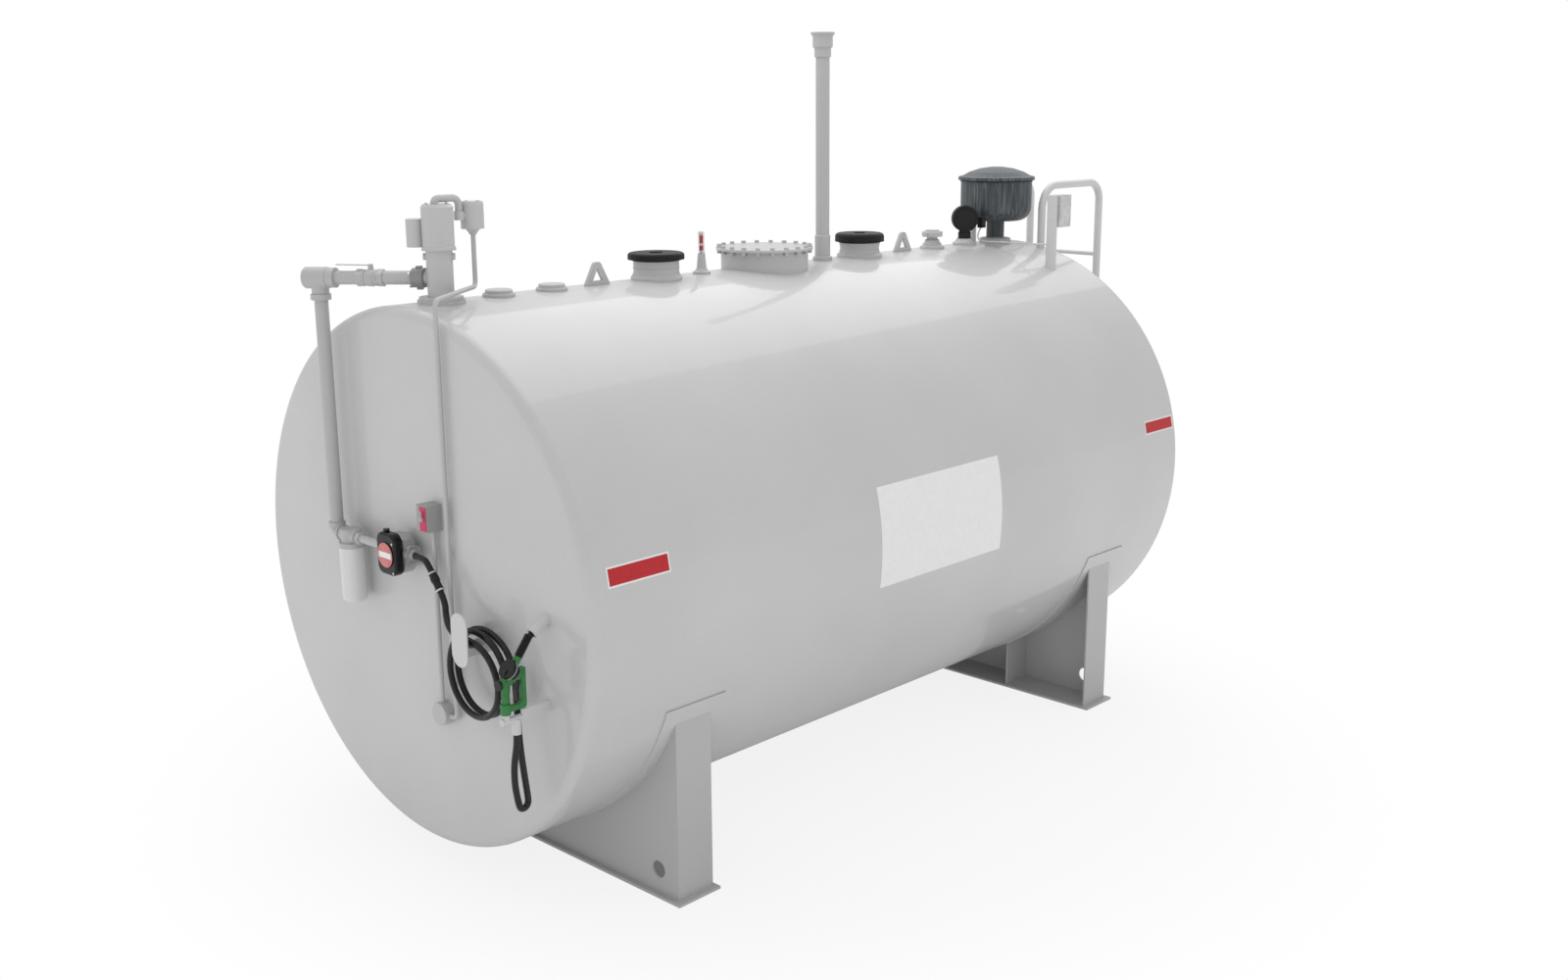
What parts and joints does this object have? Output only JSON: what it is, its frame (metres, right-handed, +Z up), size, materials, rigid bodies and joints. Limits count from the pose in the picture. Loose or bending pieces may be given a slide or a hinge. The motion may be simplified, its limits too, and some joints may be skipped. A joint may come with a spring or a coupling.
{
  "type": "horizontal cylindrical fuel storage tank on saddles",
  "caption": "Horizontal cylindrical fuel tank on two saddles with top fittings, pump line, meter, hose and nozzle on one head and a ladder on the other.",
  "frame": {"origin": "on the floor below the middle of the tank, at the centre of the saddles' footprint", "axes": "+X along the tank from the pump and hose end towards the ladder end, +Z up, -Y is the side with the hose nozzle"},
  "size_m": [5.259, 2.4384, 3.764],
  "materials": {
    "tank_paint": "satin",
    "saddle_paint": "satin",
    "fitting_paint": "satin",
    "dark_fitting": "satin",
    "cast_metal": "satin",
    "clear_plastic": "gloss",
    "drum_paint": "satin",
    "pump_paint": "satin",
    "conduit_steel": "satin",
    "line_steel": "satin",
    "filter_paint": "gloss",
    "black_plastic": "matte",
    "hose_rubber": "matte",
    "swivel_metal": "satin",
    "green_cover": "satin",
    "switch_grey": "satin",
    "lever_red": "satin",
    "rail_paint": "satin",
    "alarm_grey": "satin"
  },
  "bodies": {
    "tank": {"tank_shell": "tank_paint", "near_head": "tank_paint", "far_head": "tank_paint", "near_wear_plate": "saddle_paint", "far_wear_plate": "saddle_paint", "saddle_webs": "saddle_paint", "saddle_ribs": "saddle_paint", "saddle_feet": "saddle_paint", "manway_neck": "fitting_paint", "manway_cover": "fitting_paint", "near_vent_neck": "fitting_paint", "far_vent_neck": "fitting_paint", "vent_pipe": "fitting_paint", "vent_pipe_cap": "cast_metal", "lifting_lugs": "fitting_paint", "spare_plugs": "fitting_paint", "fill_adapter": "cast_metal", "fill_cap": "cast_metal", "level_gauge": "cast_metal", "level_gauge_dome": "clear_plastic", "tank_gauge": "dark_fitting", "tank_gauge_fitting": "fitting_paint", "spill_neck": "fitting_paint", "spill_container": "drum_paint", "pump_riser": "fitting_paint", "pump_head": "pump_paint", "pump_junction_box": "cast_metal", "conduits": "conduit_steel", "conduit_box": "conduit_steel", "discharge_pipe": "line_steel", "ball_valve": "line_steel", "discharge_tee": "line_steel", "down_pipe": "line_steel", "filter_head": "cast_metal", "filter_canister": "filter_paint", "meter_pipe": "line_steel", "meter_body": "cast_metal", "meter_cover": "black_plastic", "supply_hose": "hose_rubber", "breakaway": "swivel_metal", "hose_coil": "hose_rubber", "hose_loop": "hose_rubber", "hose_swivel": "swivel_metal", "nozzle_body": "green_cover", "nozzle_spout": "black_plastic", "nozzle_holder": "fitting_paint", "hose_hanger": "fitting_paint", "switch_box": "switch_grey", "ladder_rails": "rail_paint", "ladder_rungs": "rail_paint", "ladder_brackets": "rail_paint", "alarm_post": "fitting_paint", "alarm_box": "alarm_grey"},
    "ball_valve_lever": {"valve_lever": "line_steel"},
    "near_vent_lid": {"near_vent_cap": "dark_fitting"},
    "far_vent_lid": {"far_vent_cap": "dark_fitting"},
    "spill_container_lid": {"spill_lid": "drum_paint"},
    "trigger": {"nozzle_trigger": "black_plastic"},
    "switch_handle": {"switch_lever": "lever_red"}
  },
  "joints": [
    {"name": "ball_valve_turn", "type": "hinge", "parent": "tank", "child": "ball_valve_lever", "pos_m": [-2.16328, 0.27808, 2.73], "axis": [0, 0, 1], "range_deg": [0, 90]},
    {"name": "near_vent_lift", "type": "slide", "parent": "tank", "child": "near_vent_lid", "axis": [0, 0, 1], "range_m": [0, 0.038]},
    {"name": "far_vent_lift", "type": "slide", "parent": "tank", "child": "far_vent_lid", "axis": [0, 0, 1], "range_m": [0, 0.038]},
    {"name": "spill_lid_hinge", "type": "hinge", "parent": "tank", "child": "spill_container_lid", "pos_m": [2.03, 0.232, 2.95], "axis": [-1, 0, 0], "range_deg": [0, 95]},
    {"name": "trigger_squeeze", "type": "hinge", "parent": "tank", "child": "trigger", "pos_m": [-2.372, -0.925, 1.172], "axis": [0, 1, 0], "range_deg": [0, 18], "stiffness_Nm_per_rad": 1, "springref_deg": -5.73},
    {"name": "switch_turn", "type": "hinge", "parent": "tank", "child": "switch_handle", "pos_m": [-2.302, -0.213, 1.7], "axis": [1, 0, 0], "range_deg": [0, 90]}
  ]
}
